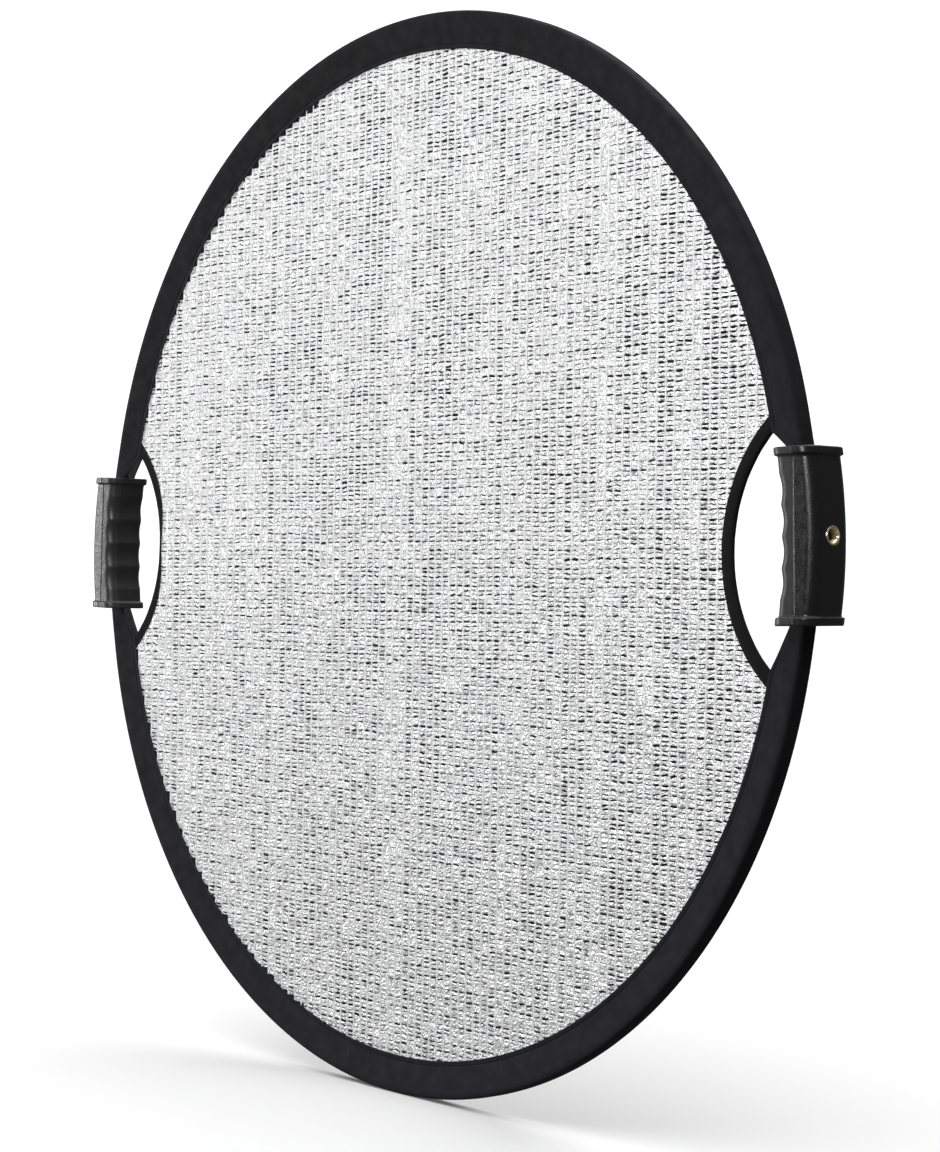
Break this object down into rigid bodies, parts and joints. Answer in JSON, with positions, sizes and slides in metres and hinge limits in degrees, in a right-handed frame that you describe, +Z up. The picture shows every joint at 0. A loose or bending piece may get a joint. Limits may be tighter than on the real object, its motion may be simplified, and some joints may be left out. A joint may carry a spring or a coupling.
{
  "type": "collapsible reflector disc",
  "caption": "Round hand-held light reflector: silver net on a sprung hoop in a cloth rim, with two moulded grips that have threaded sockets.",
  "frame": {"origin": "centre of the disc, in its mid-plane", "axes": "disc in the XZ plane, silver face towards -Y, grips at +X and -X, +Z up"},
  "size_m": [0.8318, 0.038, 0.8],
  "materials": {
    "silver_net": "aluminised knitted net, glittering",
    "backing_cloth": "matt black",
    "sleeve_cloth": "tight black weave, slight sheen",
    "tape_cloth": "matt black tape",
    "grip_plastic": "leather-grained black, smooth on the outer face",
    "brass": "turned, bright",
    "spring_steel": "rolled strip",
    "ferrule_metal": "crimped",
    "screw_steel": "black oxide"
  },
  "bodies": {
    "right_half": {"right_rim_sleeve": "sleeve_cloth", "right_silver_net": "silver_net", "right_backing_cloth": "backing_cloth", "right_crescent_tape": "tape_cloth", "right_grip_finger_shell": "grip_plastic", "right_grip_outer_shell": "grip_plastic", "right_grip_thread_insert": "brass", "right_grip_screw_1": "screw_steel", "right_grip_screw_2": "screw_steel", "right_grip_screw_3": "screw_steel", "right_spring_band_long": "spring_steel", "right_spring_band_short": "spring_steel", "band_ferrule": "ferrule_metal"},
    "left_half": {"left_rim_sleeve": "sleeve_cloth", "left_silver_net": "silver_net", "left_backing_cloth": "backing_cloth", "left_crescent_tape": "tape_cloth", "left_grip_finger_shell": "grip_plastic", "left_grip_outer_shell": "grip_plastic", "left_grip_thread_insert": "brass", "left_grip_screw_1": "screw_steel", "left_grip_screw_2": "screw_steel", "left_grip_screw_3": "screw_steel", "left_spring_band": "spring_steel"}
  },
  "joints": [
    {"name": "disc_twist", "type": "hinge", "parent": "right_half", "child": "left_half", "pos_m": [0, 0, 0], "axis": [1, 0, 0], "range_deg": [-60, 60], "stiffness_Nm_per_rad": 2}
  ]
}
